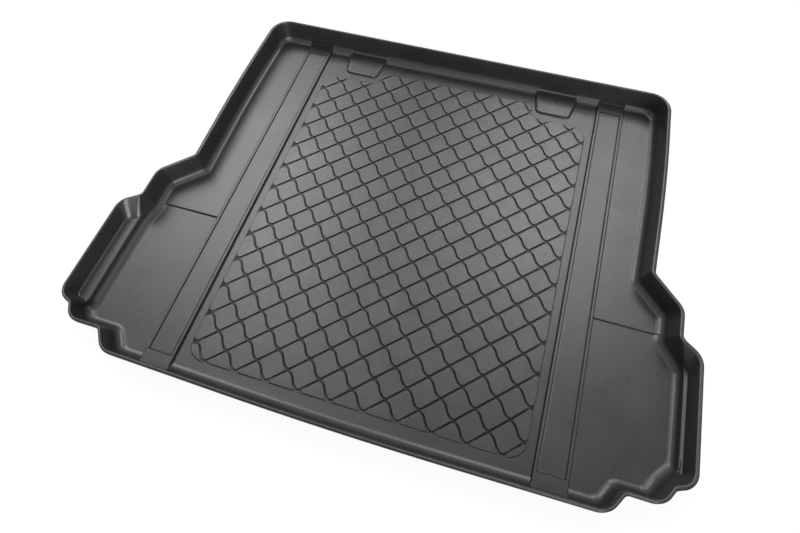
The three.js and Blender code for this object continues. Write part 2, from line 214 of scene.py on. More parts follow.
RIGHT_GROWTH = 0.4  # Growth of the rounds that turn right, as a share of the lines' move
SPAN_SHARE = 0.96  # Share of a side that its two rounds may take up


def sizes_of(group):
    """The sizes of a group by name, in millimetres. Those of both sides are [left, right]."""
    found = {}
    for name in type(group).__annotations__:
        value = getattr(group, name)
        if isinstance(value, float):
            value = value / MM
        elif not isinstance(value, int):
            value = [v / MM for v in value]
        found[name] = value
    return found


def turns_of(corners):
    """Turn at each corner, in radians. It is above 0 where the outline turns left."""
    after = np.roll(corners, -1, axis=0) - corners
    before = corners - np.roll(corners, 1, axis=0)
    cross = before[:, 0] * after[:, 1] - before[:, 1] * after[:, 0]
    return np.arctan2(cross, (before * after).sum(axis=1))


def shrunk(corners, radii, before, after=None):
    """Corners and radii after the line before and the line after each corner move inwards.

    Rounds that turn right grow less than the lines move, so that they still fit their sides.
    """
    before = np.full(len(corners), before, float)
    after = before if after is None else after
    ahead = np.roll(corners, -1, axis=0) - corners
    ahead /= np.linalg.norm(ahead, axis=1)[:, None]
    n2 = np.stack([-ahead[:, 1], ahead[:, 0]], axis=1)
    n1 = np.roll(n2, 1, axis=0)
    c = (n1 * n2).sum(axis=1)[:, None]
    mean, half = (before + after) / 2, (before - after)[:, None] / 2
    moved = corners + mean[:, None] * (n1 + n2) / (1 + c)
    moved += half * (n1 - n2) / np.maximum(1 - c, 1e-3)
    growth = np.where(turns_of(corners) > 0, -1.0, RIGHT_GROWTH)
    return moved, np.maximum(radii + growth * mean, 1.0)


def fitted_tangents(corners, radii):
    """How far each corner's round reaches along its sides, less where a side is too short."""
    tangents = radii * np.tan(np.abs(turns_of(corners)) / 2)
    spans = np.linalg.norm(np.roll(corners, -1, axis=0) - corners, axis=1)
    fit = SPAN_SHARE * spans / np.maximum(tangents + np.roll(tangents, -1), 1e-9)
    fit = np.minimum(1, fit)
    return tangents * np.minimum(fit, np.roll(fit, 1))


def arc_points(before, point, after, tangent, count):
    """Points of the round at one corner."""
    d1 = point - before
    d2 = after - point
    d1, d2 = d1 / np.linalg.norm(d1), d2 / np.linalg.norm(d2)
    turn = math.atan2(d1[0] * d2[1] - d1[1] * d2[0], d1 @ d2)
    half = math.tan(abs(turn) / 2)
    start = point - d1 * tangent
    if half < 1e-4:
        steps = np.linspace(0, 1, count + 1)[:, None]
        return start + (point + d2 * tangent - start) * steps
    side = math.copysign(1.0, turn)
    r = tangent / half
    out = np.array([d1[1], -d1[0]]) * side
    centre = start - out * r
    angles = math.atan2(out[1], out[0]) + turn * np.linspace(0, 1, count + 1)
    return centre + r * np.stack([np.cos(angles), np.sin(angles)], axis=1)


def rounded(corners, radii, facets, cuts=None):
    """A closed outline through rounded corners. Cuts are (axis, value) places on its sides."""
    n = len(corners)
    reach = fitted_tangents(corners, np.asarray(radii, float))
    arcs = [
        arc_points(corners[i - 1], corners[i], corners[(i + 1) % n], reach[i], facets[i])
        for i in range(n)
    ]
    points = []
    for i, arc in enumerate(arcs):
        points.append(arc)
        start, end = arc[-1], arcs[(i + 1) % n][0]
        for axis, value in (cuts or {}).get(i, ()):
            t = (value - start[axis]) / (end[axis] - start[axis])
            if not 0 < t < 1:
                raise RuntimeError(f"cut {value} misses side {i} of an outline")
            points.append((start + (end - start) * t)[None])
    return np.concatenate(points)


def distance_inside(points, outline):
    """Distance of each point from a closed outline, above 0 inside it."""
    a = outline
    b = np.roll(outline, -1, axis=0)
    ab = b - a
    best = np.full(len(points), 1e18)
    odd = np.zeros(len(points), bool)
    for k in range(len(a)):
        ap = points - a[k]
        t = np.clip((ap @ ab[k]) / max(ab[k] @ ab[k], 1e-12), 0, 1)
        best = np.minimum(best, ((ap - t[:, None] * ab[k]) ** 2).sum(axis=1))
        crosses = (a[k, 1] > points[:, 1]) != (b[k, 1] > points[:, 1])
        if ab[k, 1] != 0:
            x = a[k, 0] + (points[:, 1] - a[k, 1]) * ab[k, 0] / ab[k, 1]
            odd ^= crosses & (points[:, 0] < x)
    return np.where(odd, 1, -1) * np.sqrt(best)


# ---- walls ----

# The corners down one side, with each one's round and facets, then those of the near edge's middle
NAMES = ("far", "bow", "shoulder", "flare", "notch", "ridge", "pocket_far", "pocket_near")
NAMES += ("end_ridge", "end_notch", "wing_near", "step", "corner")
RADII = (50, 4600, 12, 38, 9, 9, 40, 38, 10, 9, 36, 13, 40)
FACETS = (12, 6, 6, 8, 5, 6, 9, 9, 6, 6, 9, 7, 9)
NEAR_MIDDLE_RADIUS = 11000
NEAR_MIDDLE_FACETS = 8
# Rim width, lean and foot round of the wall after each corner, on the left and on the right, then
# those of the far wall
RIMS = (
    (10, 10, 8, 6.5, 6.5, 6.5, 7, 7, 7, 7, 6.5, 6.5, 6.5),
    (10, 10, 9, 9.5, 9.5, 9.5, 9.5, 9, 9, 8, 6.5, 6.5, 6.5),
)
LEANS = (
    (2, 2, 5, 9, 5, 5, 5, 6, 6, 3, 7, 3, 7),
    (11, 11, 8, 12, 5, 5, 2, 8, 8, 8, 7, 3, 7),
)
FEET = ((18,) * 13, (18, 18, 18, 18, 18, 13, 13, 13, 18, 18, 18, 18, 18))
FAR_RIM = 7.5
FAR_LEAN = 5.5
FAR_FOOT = 18
# Section of the rim: share of its width from the outer edge, and share of its fall
RIM_SECTION = (
    (0, 1), (0.05, 0.74), (0.16, 0.47), (0.34, 0.22), (0.55, 0.05), (0.72, 0), (0.85, 0.09),
    (0.94, 0.28), (1, 0.6),
)
# Foot round that is left where the floor is raised: heights in millimetres and shares of the round
FOOT_SHARES = ((0, 4, 6), (1, 0.75, 0.09))
LIP_SHARE = 0.62  # Thickness of the lip, as a share of the sheet's
BACK_STEP = 0.5  # Height of the ring that keeps the ledges' underside sharp
CREASE_STEPS, LEDGE_STEPS, FOOT_STEPS, BACK_STEPS = 3, 4, 8, 5
RIDGE_OFFSET = 5
END_RIDGE_OFFSET = 8
# Corners of the pockets in the upper walls, the lower walls and the foot: a line across the car
# and a distance from it, an end of the ledge and a distance from it, and the corner's round
POCKET_CORNERS = {
    "upper": {
        "ridge": ("edge", 0, "far", 2, 16),
        "pocket_far": ("crease", 0, "far", -7, 20),
        "pocket_near": ("crease", 0, "near", -4, 26),
        "end_ridge": ("edge", 0, "near", 1, 18),
    },
    "low": {
        "ridge": ("edge", 0, "far", 2, 22),
        "pocket_far": ("edge", 0.6, "far", -30, 300),
        "pocket_near": ("edge", 0.6, "near", 32, 300),
        "end_ridge": ("edge", 0, "near", 1, 22),
    },
    "foot": {
        "ridge": ("foot", 0, "far", 6, 24),
        "pocket_far": ("foot", 0.6, "far", -28, 300),
        "pocket_near": ("foot", 0.6, "near", 32, 300),
        "end_ridge": ("foot", 0, "near", 5, 24),
    },
}


def corner_index(side, name):
    """Place of a side's corner in the closed outline. The sides are 0, the left, and 1."""
    i = NAMES.index(name)
    return 2 * len(NAMES) - i if side else i


def rim_side(o, side):
    """Outer corners of the rim down one side, from the far corner to the near corner."""
    names = ("side", "shoulder", "wing", "pocket", "notch", "wing_near", "corner")
    edge, shoulder, wing, pocket, notch, wing_near, corner = (o[name][side] for name in names)
    far_y, run = o["pocket_far_y"], o["pocket_far_run"]
    notch_y = o["pocket_near_y"] - o["pocket_near_run"]
    slant = run / (pocket - wing)
    end_slant = o["pocket_near_run"] / (pocket - notch)
    return np.array(
        [
            (edge, o["far_y"]),
            (edge + o["side_bow"], (o["far_y"] + shoulder) / 2),
            (edge, shoulder),
            (wing, shoulder - o["flare"]),
            (wing, far_y + RIDGE_OFFSET / 2),
            (wing + RIDGE_OFFSET, far_y - RIDGE_OFFSET * slant),
            (pocket, far_y - run),
            (pocket, o["pocket_near_y"]),
            (notch + END_RIDGE_OFFSET, notch_y + END_RIDGE_OFFSET * end_slant + 1),
            (notch, notch_y),
            (wing_near, o["wing_near_y"]),
            (o["step_x"], o["wing_near_y"]),
            (corner, o["corner_y"]),
        ]
    )


def by_line(values, far):
    """One value for the lines before each corner and one for those after, from both sides'."""
    left, right = values
    after = np.array([*left, right[-1], *right[:-1][::-1], far], float)
    return np.roll(after, 1), after


def quarter(radius, steps):
    """(1 - sine, 1 - cosine) of a round, scaled by its radius."""
    angles = np.radians(np.linspace(0, 90, steps + 1))
    return [(radius * (1 - math.sin(a)), radius * (1 - math.cos(a))) for a in angles]


class Walls:
    """Every outline of the walls, all with the same number of points."""

    def __init__(self, settings, cuts):
        self.s = sizes_of(settings.sizes)
        self.p = sizes_of(settings.pockets)
        o = sizes_of(settings.outline)
        left, right = rim_side(o, 0) * (-1, 1), rim_side(o, 1)
        middle = (0, o["corner_y"] - o["near_bow"])
        self.rim = np.concatenate([left, [middle], right[::-1]])
        self.radii = np.array([*RADII, NEAR_MIDDLE_RADIUS, *RADII[::-1]], float)
        self.facets = [*FACETS, NEAR_MIDDLE_FACETS, *FACETS[::-1]]
        self.rims = by_line(RIMS, FAR_RIM)
        self.leans = by_line(LEANS, FAR_LEAN)
        self.feet = by_line(FEET, FAR_FOOT)
        self.cuts = cuts
        self.floor_top = self.s["sheet"]
        self.rim_top = self.floor_top + self.s["rim_rise"]
        self.ledge_top = self.floor_top + self.s["ledge_rise"]

    def rim_line(self, portion, extra=0.0):
        """The rim's outline at a share of its width, or that much further in."""
        before, after = (v * portion + extra for v in self.rims)
        return shrunk(self.rim, self.radii, before, after)

    def leaned(self, z):
        """Corners and radii of the walls at one height, without the pockets' own shape."""
        portion = (self.rim_top - z) / self.s["rim_rise"]
        before, after = (v * portion for v in self.leans)
        return shrunk(*self.rim_line(1), before, after)

    def shaped(self, z, kind, out=0.0):
        """Walls at one height with the pockets' shape. The kind is upper, low or foot.

        In the rounds of a ledge's crease and edge, out is how far they still reach.
        """
        corners, radii = self.leaned(z)
        top, _ = self.rim_line(1)
        mix = 1.0
        if kind == "upper":
            mix = min((self.rim_top - z) / (self.rim_top - self.ledge_top), 1.0)
        for side, sign in enumerate((-1, 1)):
            for name, (line, across, end, along, radius) in POCKET_CORNERS[kind].items():
                x, y = self.p[line][side], self.p[end][side] + along
                if kind == "low":
                    x += out
                elif line == "crease":
                    x -= out
                    y += out if end == "near" else -out
                i = corner_index(side, name)
                place = np.array([sign * (x + across), y])
                corners[i] = top[i] + (place - top[i]) * mix
                radii[i] = radii[i] * (1 - mix) + radius * mix
        return corners, radii

    def ring(self, shape, inset, z):
        """One outline as points, moved in by an inset, with its height."""
        corners, radii = shape
        if inset:
            corners, radii = shrunk(corners, radii, inset)
        points = rounded(corners, radii, self.facets, self.cuts)
        return points, np.full(len(points), float(z))

    def foot_rings(self, above, back, bottom, height_of, steps):
        """The round from the ring above down to the floor, set back by the sheet when outside."""
        shape = self.shaped(self.floor_top, "foot")
        base, _ = self.ring(shape, -back, 0)
        inside, _ = self.ring(shrunk(*shape, *self.feet), 0, 0)
        raised = height_of(inside)
        left = np.interp(raised, *FOOT_SHARES)
        across = (inside - base) * left[:, None]
        radius = np.linalg.norm(across, axis=1)
        rings = []
        for a in np.radians(np.linspace(90, 0, steps + 1)):
            up = raised + radius * (1 - math.cos(a))
            part = np.clip(up / (above[1][0] - bottom), 0, 1)[:, None]
            points = base + (above[0] - base) * part + across * (1 - math.sin(a))
            rings.append((points, bottom + up))
        points = base + across
        rings[-1] = (points, bottom + height_of(points))
        return rings

    def rim_rings(self):
        """From the outer foot of the lip, over the rim, to the top of the inner wall."""
        fall = self.s["rim_fall"]
        rings = [self.ring(self.rim_line(0), 0, self.rim_top - fall - self.s["lip_drop"])]
        for portion, drop in RIM_SECTION:
            rings.append(self.ring(self.rim_line(portion), 0, self.rim_top - fall * drop))
        return rings

    def inner_rings(self, height_of):
        """Inner faces from under the crest to the round at the foot, then the floor's own edge."""
        low = self.ledge_top
        middle = low + (self.rim_top - low) / 2
        rings = [self.ring(self.shaped(middle, "upper"), 0, middle)]
        for out, up in reversed(quarter(self.s["crease_round"], CREASE_STEPS)):
            rings.append(self.ring(self.shaped(low + up, "upper", out), 0, low + up))
        for out, down in quarter(self.s["ledge_round"], LEDGE_STEPS):
            rings.append(self.ring(self.shaped(low - down, "low", out), 0, low - down))
        return rings + self.foot_rings(rings[-1], 0, self.floor_top, height_of, FOOT_STEPS)

    def back_rings(self, height_of):
        """Outer faces of the sheet from the inner foot of the lip down to the underside's edge."""
        s = self.s
        t = s["sheet"]
        edge_top = self.rim_top - s["rim_fall"]
        lip = self.rim_line(0, LIP_SHARE * t)
        low = self.ledge_top - t
        rings = [
            self.ring(lip, 0, edge_top - s["lip_drop"]),
            self.ring(lip, 0, edge_top - t),
            self.ring(self.rim_line(1, -t), 0, self.rim_top - t),
            self.ring(self.shaped(low, "upper"), -t, low + BACK_STEP),
            self.ring(self.shaped(low, "upper"), -t, low),
            self.ring(self.shaped(low, "low"), -t, low),
        ]
        return rings + self.foot_rings(rings[-1], t, 0.0, height_of, BACK_STEPS)


# ---- floor ----

GUARD = 1.2  # Distance from a round to the level point that keeps its shading off the flat faces
# Steps of the floor's forms: their run, foot round and crown round
RAIL_STEP = (1.2, 0.8, 1.7)
STRIP_STEP = (1.6, 1.0, 1.4)
TAB_STEP = (2.0, 2.0, 2.6)
# Sections, as distances inwards and heights: of the underside's hollows, as shares of their rise,
# of the plateau, of the groove round the sunk panels, and of a pad, also as shares
HOLLOW = np.array([(-0.5, 0.0), (0.5, 1.0)])
PLATEAU = np.array([(-1.6, 0), (-0.6, 0), (0, 1)])
GROOVE = np.array(
    [(-1.2, 0), (-0.3, 0), (0.2, 0.9), (0.7, 1), (1.5, 1), (2.2, 0.72), (3, 0.66), (3.9, 0.66)]
)
PAD = ((-0.5, 0.0), (-0.05, 0.0), (0.25, 0.88), (0.65, 1.0), (1.4, 1.0))
AREA_FACETS = (10,) * 8
TAB_FACETS = (8, 8, 1, 1)
TAB_WALL = 13  # Distance of the tabs' wall from the rim's far edge, where their far width counts
TAB_REACH = 10  # How far the tabs' lines run on past the rim's far edge
TAB_OPEN = 20  # Distance from the wall at which a tab's line starts to run straight to it
TAB_ROOM = (10, 90)  # Points farther than this from a tab's near edge and middle are not on it
AREA_ROOM = (5, 30)  # Points nearer than this to the rails and the wall are not on the plateau
EVEN_CUTS = np.arange(-160, 161, 40.0)  # Further points along the far wall
PADS_INSET = 0.5  # Distance of the pads from the border of the padded area
PAD_ROOM = 0.9  # Room that a pad's crown must have, so that no sliver becomes a pad
PAD_TURN = 0.13  # How far the points round a pad crowd towards its corners
CELLS_OUT = 20  # Cells of the lattice that are tried on each side of its middle
SEEDS = np.linspace(0.12, 0.88, 7)  # Places in a cell that are tried as its pad's middle
HALVINGS = 14
CORNER_BLEND = 3.8  # Blend of a pad's corners
BORDER_BLEND = 1.6  # Blend where a pad meets the border of the padded area
# Slant of the pads' walls along the near border: distances from it, and shares of their steepness
NEAR_SLANT = ((8, 16), (0.45, 1))


def round_step(rise, run, foot_round, crown_round):
    """Section of a step with rounded foot and crown: distances inwards and heights."""
    slope = math.atan2(rise, run)
    half = math.tan(slope / 2)
    foot, crown = -foot_round * half, run + crown_round * half
    points = [(foot - GUARD, 0.0)]
    for a in np.linspace(0, slope, 4):
        points.append((foot + foot_round * math.sin(a), foot_round * (1 - math.cos(a))))
    for a in np.linspace(slope, 0, 4):
        points.append((crown - crown_round * math.sin(a), rise - crown_round * (1 - math.cos(a))))
    points.append((crown + GUARD, rise))
    return np.array(points)


class Floor:
    """Heights of the floor above its lowest level, and the lines that its forms need."""

    def __init__(self, settings, wall_y):
        self.f = f = sizes_of(settings.floor)
        self.s = s = sizes_of(settings.sizes)
        self.far_y = sizes_of(settings.outline)["far_y"]
        self.wall_y = wall_y
        self.rail = round_step(s["rail_rise"], *RAIL_STEP)
        self.strip = round_step(s["strip_rise"], *STRIP_STEP)
        self.tab = round_step(s["tab_rise"], *TAB_STEP)
        self.panel = GROOVE * (1, f["panel_depth"])
        self.plateau = PLATEAU * (1, s["plateau_rise"])
        self.under = s["sheet"] + HOLLOW[:, 0]
        self.rail_in = f["rail_x"]
        self.rail_out = f["rail_x"] + f["rail_width"]
        big, small, step = f["pads_radius"], f["pads_step_radius"], f["pads_step_x"]
        right = [
            (f["pads_half_width"], f["pads_near_y"], big),
            (f["pads_half_width"], f["pads_side_y"], big),
            (step, f["pads_side_y"], small),
            (step, f["pads_far_y"], small),
        ]
        both = np.array(right + [(-x, y, r) for x, y, r in reversed(right)])
        self.area_corners, self.area_radii = both[:, :2], both[:, 2]

    def area(self, inset):
        """Outline of the padded area at one inset."""
        return rounded(*shrunk(self.area_corners, self.area_radii, inset), AREA_FACETS)

    def tab_corners(self, side):
        """Corners of a tab whose far ones lie past the wall."""
        f = self.f
        x, y, far = side * f["tab_x"], f["tab_y"], self.far_y + TAB_REACH
        spread = (f["tab_far_width"] - f["tab_near_width"]) / 2
        reach = spread * (far - y) / (self.far_y - TAB_WALL - y)
        half = f["tab_near_width"] / 2
        wide = half + reach
        return np.array([(x - half, y), (x + half, y), (x + wide, far), (x - wide, far)])

    def tab_outline(self, side, inset):
        """Outline of a tab at one inset."""
        radii = np.array([self.f["tab_radius"]] * 2 + [1, 1])
        return rounded(*shrunk(self.tab_corners(side), radii, inset), TAB_FACETS)

    def raised(self, points, inset, rail, panel, strip, tab):
        """Height of the rails, strips and tabs at each point, with their sections at an inset."""
        x, y = np.abs(points[:, 0]), points[:, 1]
        f = self.f
        across = np.minimum(x - self.rail_in - inset, self.rail_out - inset - x)
        along = np.minimum(f["panel_far_y"] - y, y - f["panel_near_y"])
        sunk = np.minimum(across - f["panel_margin"], along)
        z = np.interp(across, *rail.T) - np.interp(sunk, *panel.T)
        step = np.interp(y - f["strip_y"] - inset, *strip.T)
        z = np.where(x > (self.rail_in + self.rail_out) / 2, np.maximum(z, step), z)
        before, beside = TAB_ROOM
        for side in (-1, 1):
            near = np.abs(points[:, 0] - side * f["tab_x"]) < beside
            near &= y > f["tab_y"] - before
            if near.any():
                d = distance_inside(points[near], self.tab_outline(side, inset))
                z[near] = np.maximum(z[near], np.interp(d, *tab.T))
        return z

    def heights(self, points):
        """Height of the floor's upper face at each point."""
        z = self.raised(points, 0, self.rail, self.panel, self.strip, self.tab)
        beside, before = AREA_ROOM
        near = np.abs(points[:, 0]) < self.rail_in - beside
        near &= points[:, 1] < self.wall_y - before
        d = distance_inside(points[near], self.area(0))
        z[near] = np.maximum(z[near], np.interp(d, *self.plateau.T))
        return z

    def under_heights(self, points):
        """Height of the underside's hollows at each point."""
        rises = (self.s["rail_rise"], 0, self.s["strip_rise"], self.s["tab_rise"])
        return self.raised(points, self.s["sheet"], *(HOLLOW * (1, rise) for rise in rises))

    def tab_line_x(self, side, inset, left, y):
        """Where a tab's edge line, moved in by an inset, crosses a given y."""
        corners, _ = shrunk(self.tab_corners(side), np.ones(4), inset)
        a, b = (corners[0], corners[3]) if left else (corners[1], corners[2])
        return a[0] + (b[0] - a[0]) * (y - a[1]) / (b[1] - a[1])

    def cuts(self):
        """Places on the walls where the floor's lines end, by side of the outline."""
        insets = [*self.rail[:, 0], *self.under]
        rails = sorted([self.rail_in + d for d in insets] + [self.rail_out - d for d in insets])
        strips = sorted(self.f["strip_y"] + d for d in (*self.strip[:, 0], *self.under))
        tabs = [
            self.tab_line_x(side, d, left, self.wall_y)
            for side in (-1, 1) for left in (True, False) for d in (*self.tab[:, 0], *self.under)
        ]
        far = sorted([*tabs, *rails, *[-x for x in rails], *EVEN_CUTS], reverse=True)
        n, flare, corner = len(NAMES), NAMES.index("flare"), NAMES.index("corner")
        return {
            2 * n: [(0, x) for x in far],
            corner: [(0, -x) for x in reversed(rails)],
            corner + 1: [(0, x) for x in rails],
            flare: [(1, y) for y in reversed(strips)],
            2 * n - flare - 1: [(1, y) for y in strips],
        }


class Pads:
    """The diamond pads, each drawn as nested outlines from its foot to its crown."""

    def __init__(self, floor):
        f = floor.f
        self.facets = f["pad_facets"]
        w, l = f["cell_width"] / 2, f["cell_length"] / 2
        self.down = np.array([w, -l])
        self.up = np.array([w, l])
        self.side = math.hypot(w, l)
        self.origin = np.array([f["lattice_x"] + w, f["lattice_y"]]) - self.down / 2 - self.up / 2
        self.gap = f["channel_width"] / 2
        self.wave = f["channel_wave"] / self.side
        self.area = floor.area(PADS_INSET)
        self.near_y = f["pads_near_y"]
        self.rise = floor.s["pad_rise"]
        self.base = floor.s["plateau_rise"]

    def lattice(self, points):
        """Place in the lattice, counted in cells down-right and up-right."""
        base = np.linalg.inv(np.stack([self.down, self.up], axis=1))
        a, b = (points - self.origin) @ base.T[:, 0], (points - self.origin) @ base.T[:, 1]
        return a, b - self.wave * np.sin(2 * math.pi * a)

    def depth(self, points, cells):
        """How far inside its own pad each point lies."""
        a, b = self.lattice(points)
        a, b = a - cells[:, 0], b - cells[:, 1]
        total = a * self.side - self.gap
        values = [(v * self.side - self.gap, CORNER_BLEND) for v in (1 - a, b, 1 - b)]
        near_y, shares = [self.near_y + d for d in NEAR_SLANT[0]], NEAR_SLANT[1]
        slant = np.interp(points[:, 1], near_y, shares)
        values.append((distance_inside(points, self.area) * slant, BORDER_BLEND))
        for v, blend in values:
            near = np.clip(blend - np.abs(total - v), 0, None) / blend
            total = np.minimum(total, v) - near * near * blend / 4
        return total

    def outlines(self):
        """(points, height) for each outline of each pad."""
        reach = range(-CELLS_OUT, CELLS_OUT + 1)
        cells = np.array([(i, j) for i in reach for j in reach], float)
        seeds = np.array([(u, v) for u in SEEDS for v in SEEDS])
        places = cells[:, None, :] + seeds[None]
        flat = self.origin + places.reshape(-1, 2) @ np.stack([self.down, self.up])
        owner = np.repeat(cells, len(seeds), axis=0)
        inside = self.depth(flat, owner).reshape(len(cells), -1)
        best = inside.argmax(axis=1)
        kept = inside.max(axis=1) > PAD[-1][0] + PAD_ROOM
        cells = cells[kept]
        centres = flat.reshape(len(places), -1, 2)[kept, best[kept]]
        turn = np.linspace(0, 2 * math.pi, self.facets, endpoint=False)
        turn = turn - PAD_TURN * np.sin(4 * turn)
        ways = np.stack([np.cos(turn), np.sin(turn)], axis=1)
        start = np.repeat(centres, self.facets, axis=0)
        way = np.tile(ways, (len(cells), 1))
        owner = np.repeat(cells, self.facets, axis=0)
        result = []
        for level, part in PAD:
            low = np.zeros(len(start))
            high = np.full(len(start), self.side)
            for _ in range(HALVINGS):
                mid = (low + high) / 2
                within = self.depth(start + way * mid[:, None], owner) > level
                low = np.where(within, mid, low)
                high = np.where(within, high, mid)
            points = start + way * low[:, None]
            z = self.base + part * self.rise
            result += [(p, z) for p in points.reshape(len(cells), self.facets, 2)]
        return result


def filled_plan(edge, loops, lines, height_of):
    """Fills an outline with triangles that follow the given loops and lines."""
    points, carried, links = [edge], [np.zeros(len(edge))], []
    count = len(edge)
    for loop, z in loops:
        n = len(loop)
        links += [(count + i, count + (i + 1) % n) for i in range(n)]
        points.append(loop)
        carried.append(np.full(n, z))
        count += n
    for line in lines:
        ids = []
        for item in line:
            if isinstance(item, (int, np.integer)):
                ids.append(int(item))
            else:
                points.append(np.array(item)[None])
                carried.append(np.zeros(1))
                ids.append(count)
                count += 1
        links += list(zip(ids[:-1], ids[1:]))
    flat = np.concatenate(points)
    carried = np.concatenate(carried)
    verts, _, faces, origins, _, _ = delaunay_2d_cdt(
        [Vector(p) for p in flat], links, [list(range(len(edge)))], 1, JOINED, True
    )
    plan = np.array([(v.x, v.y) for v in verts])
    z = np.maximum(height_of(plan), [max((carried[i] for i in o), default=0.0) for o in origins])
    on_edge = np.array([next((i for i in o if i < len(edge)), -1) for o in origins])
    faces = np.array(faces)
    return plan, z, on_edge, faces[faces_inside(faces, on_edge, len(edge))]


def faces_inside(faces, on_edge, count):
    """Marks the faces inside the outline: those that are reached without crossing it."""
    ends = np.stack([faces, np.roll(faces, -1, axis=1)], axis=2)
    places = on_edge[ends]
    gap = np.abs(places[..., 0] - places[..., 1])
    crossing = (places >= 0).all(axis=2) & (gap > 1) & (gap < count - 1)
    inside = (on_edge[faces] < 0).any(axis=1)
    keys = np.sort(ends, axis=2)
    reached = {tuple(k) for k in keys[inside][crossing[inside]]}
    left = {int(f): [tuple(k) for k in keys[f][crossing[f]]] for f in np.flatnonzero(~inside)}
    found = True
    while found:
        found = [f for f, keys in left.items() if any(k in reached for k in keys)]
        for f in found:
            inside[f] = True
            reached.update(left.pop(f))
    return inside


# ---- the moulding ----

# Share of painted shade on the outer lip, on the first rings of the rim
LIP_SHADE_RINGS = ((0, 3, 4, 5), (1, 0.9, 0.5, 0))
JOINED = 1e-5  # Distance in millimetres at which the filling joins points
CUT_MATCH = 1e-4
STRIP_PAST = 0.5  # How far the strips' lines run on past the crown of the rails
WELD = 1e-6  # Distance in metres at which points are welded


def nearest_on(ring, axis, value, side):
    """Index of the outline's point at a cut, on one side of the outline."""
    other = ring[:, 1 - axis] * side
    close = np.abs(ring[:, axis] - value) < CUT_MATCH
    if not close.any():
        raise RuntimeError(f"no point of the outline lies at {value}")
    return int(np.where(close, other, -1e9).argmax())


def form_lines(floor, ring, rail, strip, tab, crown):
    """Lines of the rails, strips and tabs over one face of the floor, at their sections' insets.

    The strips' lines end at the crown, a distance from the rails' outer edges.
    """
    lines = []
    for sign in (-1, 1):
        for x in [floor.rail_in + d for d in rail] + [floor.rail_out - d for d in rail]:
            lines.append([nearest_on(ring, 0, sign * x, end) for end in (-1, 1)])
        for d in strip:
            y = floor.f["strip_y"] + d
            lines.append([nearest_on(ring, 1, y, sign), (sign * (floor.rail_out - crown), y)])
        lines += [tab_line(floor, ring, sign, d) for d in tab]
    return lines


def tab_line(floor, ring, side, inset):
    """A tab's outline at one inset, open at the far wall."""
    far = floor.wall_y
    open_part = [tuple(p) for p in floor.tab_outline(side, inset) if p[1] < far - TAB_OPEN]
    ends = [floor.tab_line_x(side, inset, left, far) for left in (True, False)]
    left, right = (nearest_on(ring, 0, x, 1) for x in ends)
    return [left, *open_part, right]


def form_loops(floor):
    """Loops of the sunk panels and of the padded area's border."""
    loops = []
    f = floor.f
    half = f["rail_width"] / 2 - f["panel_margin"]
    for sign in (-1, 1):
        middle = sign * (floor.rail_in + floor.rail_out) / 2
        for d in floor.panel[:, 0]:
            x0, x1 = middle - half + d, middle + half - d
            y0, y1 = f["panel_near_y"] + d, f["panel_far_y"] - d
            loops.append((np.array([(x0, y0), (x1, y0), (x1, y1), (x0, y1)]), 0.0))
    return loops + [(floor.area(d), 0.0) for d in floor.plateau[:, 0]]


def stacked(rings):
    """Points and quads of a stack of rings, which faces outwards as the rings go up and over."""
    count = len(rings[0][0])
    points = np.concatenate([np.column_stack([p, z]) for p, z in rings])
    i = np.arange(count)
    j = (i + 1) % count
    quad = np.stack([i, j, count + j, count + i], axis=1)
    return points, np.concatenate([quad + k * count for k in range(len(rings) - 1)])


def shell(rings, loops, lines, height_of, bottom):
    """One face of the sheet: its points, and the faces of its walls and of its floor."""
    walls, quads = stacked(rings)
    plan, z, on_edge, tris = filled_plan(rings[-1][0], loops, lines, height_of)
    first = len(walls) - len(rings[-1][0])
    ids = np.where(on_edge >= 0, first + on_edge, len(walls) + np.arange(len(plan)))
    return np.concatenate([walls, np.column_stack([plan, z + bottom])]), [quads, ids[tris]]


def liner_mesh(settings):
    """The whole moulding: points in metres, faces, and how far each point lies on the outer lip, as
    its share of painted shade there.
    """
    plain = Walls(settings, {})
    foot, _ = plain.shaped(plain.floor_top, "foot")
    floor = Floor(settings, foot[0, 1])
    walls = Walls(settings, floor.cuts())
    top = walls.rim_rings() + walls.inner_rings(floor.heights)
    back = walls.back_rings(floor.under_heights)

    rail, strip, tab = (section[:, 0] for section in (floor.rail, floor.strip, floor.tab))
    lines = form_lines(floor, top[-1][0], rail, strip, tab, rail[-1] + STRIP_PAST)
    loops = form_loops(floor) + Pads(floor).outlines()
    points, faces = shell(top, loops, lines, floor.heights, walls.floor_top)
    under = floor.under
    lines = form_lines(floor, back[-1][0], under, under, under, under[-1])
    back_points, back_faces = shell(back, [], lines, floor.under_heights, 0.0)

    first_back = len(points)
    faces += [group[:, ::-1] + first_back for group in back_faces]
    rim = top[0][0]
    i = np.arange(len(rim))
    j = (i + 1) % len(rim)
    faces.append(np.stack([j, i, first_back + i, first_back + j], axis=1))
    points = np.concatenate([points, back_points])
    points[:, :2] -= (rim.min(axis=0) + rim.max(axis=0)) / 2
    # Painted shade on the outer lip, ring by ring
    lip = np.interp(np.arange(len(points)) // len(rim), *LIP_SHADE_RINGS)
    kept, joined = welded(points * MM, faces)
    return points[kept] * MM, joined, lip[kept]


def welded(points, faces):
    """Joins points at one place and drops the faces that this empties. Gives the points kept."""
    keys = np.round(points / WELD).astype(np.int64)
    _, first, same = np.unique(keys, axis=0, return_index=True, return_inverse=True)
    same = same.ravel()
    kept = []
    for group in faces:
        for face in same[group]:
            ring = [int(v) for k, v in enumerate(face) if v != face[k - 1]]
            if len(ring) > 2 and len(set(ring)) == len(ring):
                kept.append(ring)
    used = np.unique(np.concatenate([np.array(f) for f in kept]))
    place = np.full(len(first), -1)
    place[used] = np.arange(len(used))
    return first[used], [[int(place[v]) for v in f] for f in kept]


